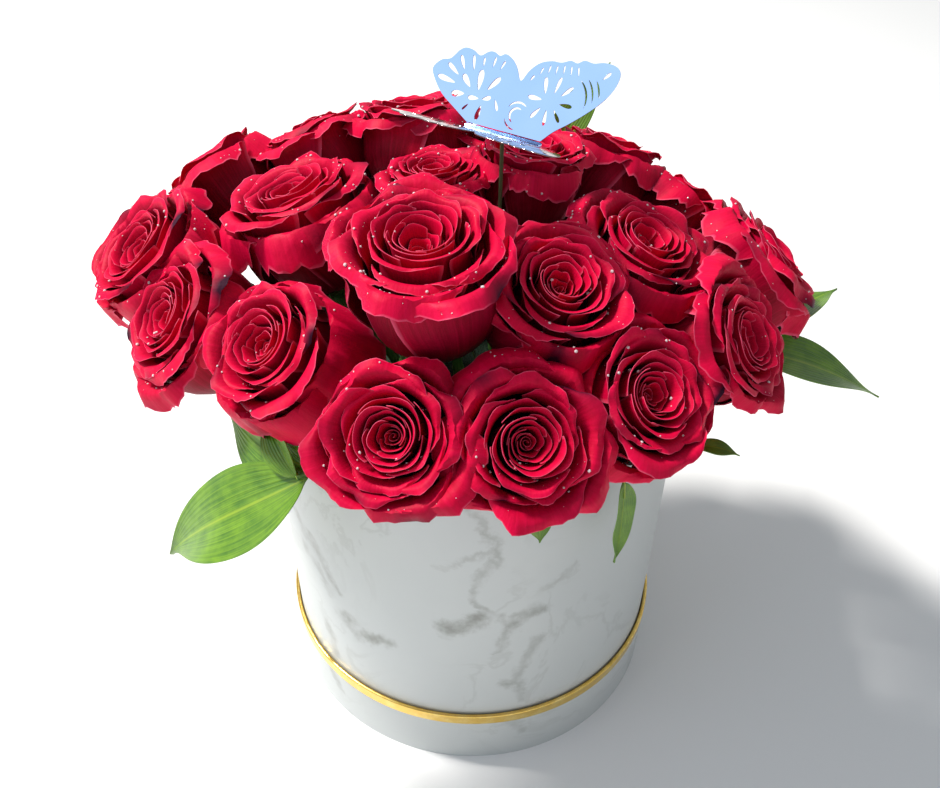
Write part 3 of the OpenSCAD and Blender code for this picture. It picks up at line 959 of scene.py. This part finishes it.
class FlowerBoxRoses(bpy.types.PropertyGroup):
    """Sizes and colours of the roses"""
    petals: bpy.props.IntProperty(
        name="Petals", description="Petals of each bloom round its heart", default=28, min=12, max=48)
    packing: bpy.props.FloatProperty(
        name="Packing", description="Radius of the packed cup as a share of the open bloom's",
        default=0.74, min=0.6, max=1.0, subtype="FACTOR")
    petal_thickness: length("Petal thickness", "Thickness of a petal near its foot", 0.45, 0.2, 1.0)
    grid_across: bpy.props.IntProperty(
        name="Lines across", description="Grid lines across each petal", default=29, min=9, max=41)
    grid_along: bpy.props.IntProperty(
        name="Lines along", description="Grid lines from foot to margin", default=15, min=7, max=31)
    drops: bpy.props.IntProperty(
        name="Drops", description="Drops of dew on each bloom", default=120, min=0, max=120)
    drop_size: length("Drop size", "Width of the largest drop", 1.5, 0.3, 3.0)
    sepal_length: length("Sepal length", "Length of a sepal along its curve", 21, 10, 35)
    sepal_width: length("Sepal width", "Width of a sepal", 5, 2, 9)
    sepal_thickness: length("Sepal thickness", "Thickness of a sepal", 0.7, 0.3, 1.5)
    colour: colour_of("Petals", "Colour of the petals", (0.60, 0.0, 0.036))
    margin_colour: colour_of("Margins", "Colour of the petals' thin margins", (0.80, 0.13, 0.24))


class FlowerBoxLeaves(bpy.types.PropertyGroup):
    """Sizes and colours of the leaves"""
    blade_thickness: length("Blade thickness", "Thickness of a leaf at its midrib", 0.7, 0.3, 1.5)
    light: colour_of("Light green", "Paler green of the blades", (0.17, 0.33, 0.012))
    dark: colour_of("Dark green", "Deeper green of the blades", (0.04, 0.14, 0.006))


class FlowerBoxButterfly(bpy.types.PropertyGroup):
    """Sizes and colour of the butterfly"""
    card_thickness: length("Card thickness", "Thickness of the mirror card", 0.45, 0.2, 1.0)
    wing_bow: length("Bow", "How far a wing's tip bows out of its plane", 1.2, 0.0, 3)
    colour: colour_of("Mirror film", "Colour of the mirror film", (0.42, 0.57, 0.84))
    # Painted reflection: the near wing is the same mirror card, its film given a dark red-brown for the
    # roses it reflects.
    near_wing_painted_reflection: colour_of("Near wing film", "Colour of the near wing's painted reflection", (0.26, 0.18, 0.18))


class FlowerBoxPaper(bpy.types.PropertyGroup):
    """Colours of the box"""
    paper: colour_of("Paper", "Ground of the marble print", (0.53, 0.555, 0.55))
    veins: colour_of("Veins", "Colour of the printed veins", (0.13, 0.13, 0.10))


class FlowerBoxStage(bpy.types.PropertyGroup):
    """Light, floor and camera"""
    key_power: bpy.props.FloatProperty(
        name="Key light", description="Power of the main softbox", default=150.0, min=0.0, unit="POWER")
    fill_power: bpy.props.FloatProperty(
        name="Fill light", description="Power of the fill softbox", default=5.0, min=0.0, unit="POWER")
    sky: bpy.props.FloatProperty(
        name="Room light", description="Strength of the even light", default=0.45, min=0.0)
    floor_colour: colour_of("Floor", "Colour of the floor", (0.86, 0.86, 0.86))


class FLOWERBOX_OT_roses(bpy.types.Operator):
    """Make every bloom, its sepals and its dew"""
    bl_idname = "flowerbox.roses"
    bl_label = "Roses"

    def execute(self, context):
        set_up = context.scene.flower_box_roses
        finish = petal_finish(tuple(set_up.colour), tuple(set_up.margin_colour))
        blooms = [Bloom(node) for node in ROSES]
        drops = Heap()
        for bloom in blooms:
            petals = rose(bloom, finish, set_up)
            dew(bloom, drops, petals, np.random.default_rng(900 + bloom.number), set_up)
        drops.piece("dew_drops", dew_finish(), "insert")
        calyxes(blooms, sepal_finish(), set_up)
        dress(stem_finish(), "rose_stems", "leaf_stalks")
        return {"FINISHED"}


class FLOWERBOX_OT_leaves(bpy.types.Operator):
    """Make every leaf blade"""
    bl_idname = "flowerbox.leaves"
    bl_label = "Leaves"

    def execute(self, context):
        set_up = context.scene.flower_box_leaves
        finish = leaf_finish("leaf", tuple(set_up.light), tuple(set_up.dark))
        for node in LEAVES:
            leaf(node, finish, set_up)
        return {"FINISHED"}


class FLOWERBOX_OT_butterfly(bpy.types.Operator):
    """Cut both pierced wings and finish the spine, pad and pick"""
    bl_idname = "flowerbox.butterfly"
    bl_label = "Butterfly"

    def execute(self, context):
        set_up = context.scene.flower_box_butterfly
        mirror = mirror_finish(tuple(set_up.colour))
        wing("wing_far", "wing_far_fold", mirror, set_up)
        # The near wing's dark film colour is a painted reflection of the roses in front of it.
        wing("wing_near", "wing_near_fold", mirror_finish(tuple(set_up.near_wing_painted_reflection)), set_up)
        dress(mirror, "butterfly_spine")
        dress(pad_finish(), "butterfly_pad")
        dress(wood_finish(), "butterfly_pick")
        return {"FINISHED"}


class FLOWERBOX_OT_box(bpy.types.Operator):
    """Finish the box, its lid, the liner and the foam"""
    bl_idname = "flowerbox.box"
    bl_label = "Box and lid"

    def execute(self, context):
        set_up = context.scene.flower_box_paper
        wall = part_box("box_wrap")
        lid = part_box("lid_wrap")
        paper, veins = tuple(set_up.paper), tuple(set_up.veins)
        dress(marble_finish("marble_box", wall[1].x, wall[0].z, paper, veins), "box_wrap")
        dress(marble_finish("marble_lid", lid[1].x, lid[0].z - 26 * MM, paper, veins), "lid_wrap")
        dress(gold_finish(), "lid_edging")
        dress(paper_finish(), "lid_face_paper", "box_base_paper", "box_lining")
        dress(board_finish(), "lid_panel", "lid_wall", "box_wall", "box_base")
        dress(liner_finish(), "liner")
        dress(foam_finish(), "foam_block")
        return {"FINISHED"}


def softbox(name, place, size, power, colour):
    """A square area light that faces the lit point."""
    light = bpy.data.lights.new(name, "AREA")
    light.size = size
    light.energy = power
    light.color = colour
    thing = place_new(name, light)
    thing.location = place
    way = Vector(LIT_POINT) - thing.location
    thing.rotation_euler = way.to_track_quat("-Z", "Y").to_euler()


# Where the stage's things are, in metres and degrees
FLOOR_RADIUS = 3.0
LIT_POINT = (0, 0, 0.20)
KEY_PLACE, KEY_SIZE, KEY_COLOUR = (-1.75, 0.45, 2.75), 0.45, (1.0, 0.97, 0.92)
FILL_PLACE, FILL_SIZE, FILL_COLOUR = (-1.30, -0.60, 0.95), 1.3, (0.72, 0.86, 1.0)
ROOM_COLOUR = (0.90, 0.95, 1.0, 1.0)
CAMERA_PLACE = (0, -0.3484, 0.4393)
CAMERA_DOWN, CAMERA_LEFT, CAMERA_ROLL = 38.65, 0.38, 0.78
LENS, FILM_WIDTH = 34.47, 36


class FLOWERBOX_OT_stage(bpy.types.Operator):
    """Set the floor, the soft light and the camera"""
    bl_idname = "flowerbox.stage"
    bl_label = "Stage"

    def execute(self, context):
        set_up = context.scene.flower_box_stage
        scene = context.scene
        angle = np.linspace(0, 2 * math.pi, 64, endpoint=False)
        disc = FLOOR_RADIUS * np.stack([np.cos(angle), np.sin(angle), 0 * angle], -1)
        mesh = bpy.data.meshes.new("floor")
        mesh.from_pydata(disc, [], [list(range(len(disc)))])
        mesh.materials.append(floor_finish(tuple(set_up.floor_colour)))
        place_new("floor", mesh)
        softbox("key", KEY_PLACE, KEY_SIZE, set_up.key_power, KEY_COLOUR)
        softbox("fill", FILL_PLACE, FILL_SIZE, set_up.fill_power, FILL_COLOUR)
        world = bpy.data.worlds.new("room")
        world.use_nodes = True
        room = world.node_tree.nodes["Background"]
        room.inputs["Color"].default_value = ROOM_COLOUR
        room.inputs["Strength"].default_value = set_up.sky
        scene.world = world
        lens = bpy.data.cameras.new("camera")
        lens.lens = LENS
        lens.sensor_width = FILM_WIDTH
        lens.clip_start = 0.01
        camera = place_new("camera", lens)
        camera.location = CAMERA_PLACE
        look = Euler((math.radians(90 - CAMERA_DOWN), 0, math.radians(CAMERA_LEFT)))
        roll = Euler((0, 0, math.radians(CAMERA_ROLL)))
        camera.rotation_euler = (look.to_matrix() @ roll.to_matrix()).to_euler()
        scene.camera = camera
        scene.view_settings.view_transform = "Standard"
        return {"FINISHED"}


class FLOWERBOX_PT_panel(bpy.types.Panel):
    """Lists what the flower box is made of"""
    bl_idname = "FLOWERBOX_PT_panel"
    bl_label = "Flower Box"
    bl_space_type = "VIEW_3D"
    bl_region_type = "UI"
    bl_category = "Flower Box"

    def draw(self, context):
        for operator in OPERATORS:
            self.layout.operator(operator.bl_idname)
        for name in SETTINGS:
            group = getattr(context.scene, name)
            box = self.layout.box()
            for key in group.bl_rna.properties.keys():
                if key not in ("rna_type", "name"):
                    box.prop(group, key)


SETTINGS = {
    "flower_box_roses": FlowerBoxRoses,
    "flower_box_leaves": FlowerBoxLeaves,
    "flower_box_butterfly": FlowerBoxButterfly,
    "flower_box_paper": FlowerBoxPaper,
    "flower_box_stage": FlowerBoxStage,
}
OPERATORS = [FLOWERBOX_OT_box, FLOWERBOX_OT_roses, FLOWERBOX_OT_leaves, FLOWERBOX_OT_butterfly,
             FLOWERBOX_OT_stage]


def register():
    for group in SETTINGS.values():
        bpy.utils.register_class(group)
    for name, group in SETTINGS.items():
        setattr(bpy.types.Scene, name, bpy.props.PointerProperty(type=group))
    for operator in OPERATORS:
        bpy.utils.register_class(operator)
    bpy.utils.register_class(FLOWERBOX_PT_panel)


def unregister():
    bpy.utils.unregister_class(FLOWERBOX_PT_panel)
    for operator in reversed(OPERATORS):
        bpy.utils.unregister_class(operator)
    for name in SETTINGS:
        delattr(bpy.types.Scene, name)
    for group in SETTINGS.values():
        bpy.utils.unregister_class(group)


def main():
    register()
    bpy.ops.flowerbox.box()
    bpy.ops.flowerbox.roses()
    bpy.ops.flowerbox.leaves()
    bpy.ops.flowerbox.butterfly()
    bpy.ops.flowerbox.stage()


if __name__ == "__main__":
    main()
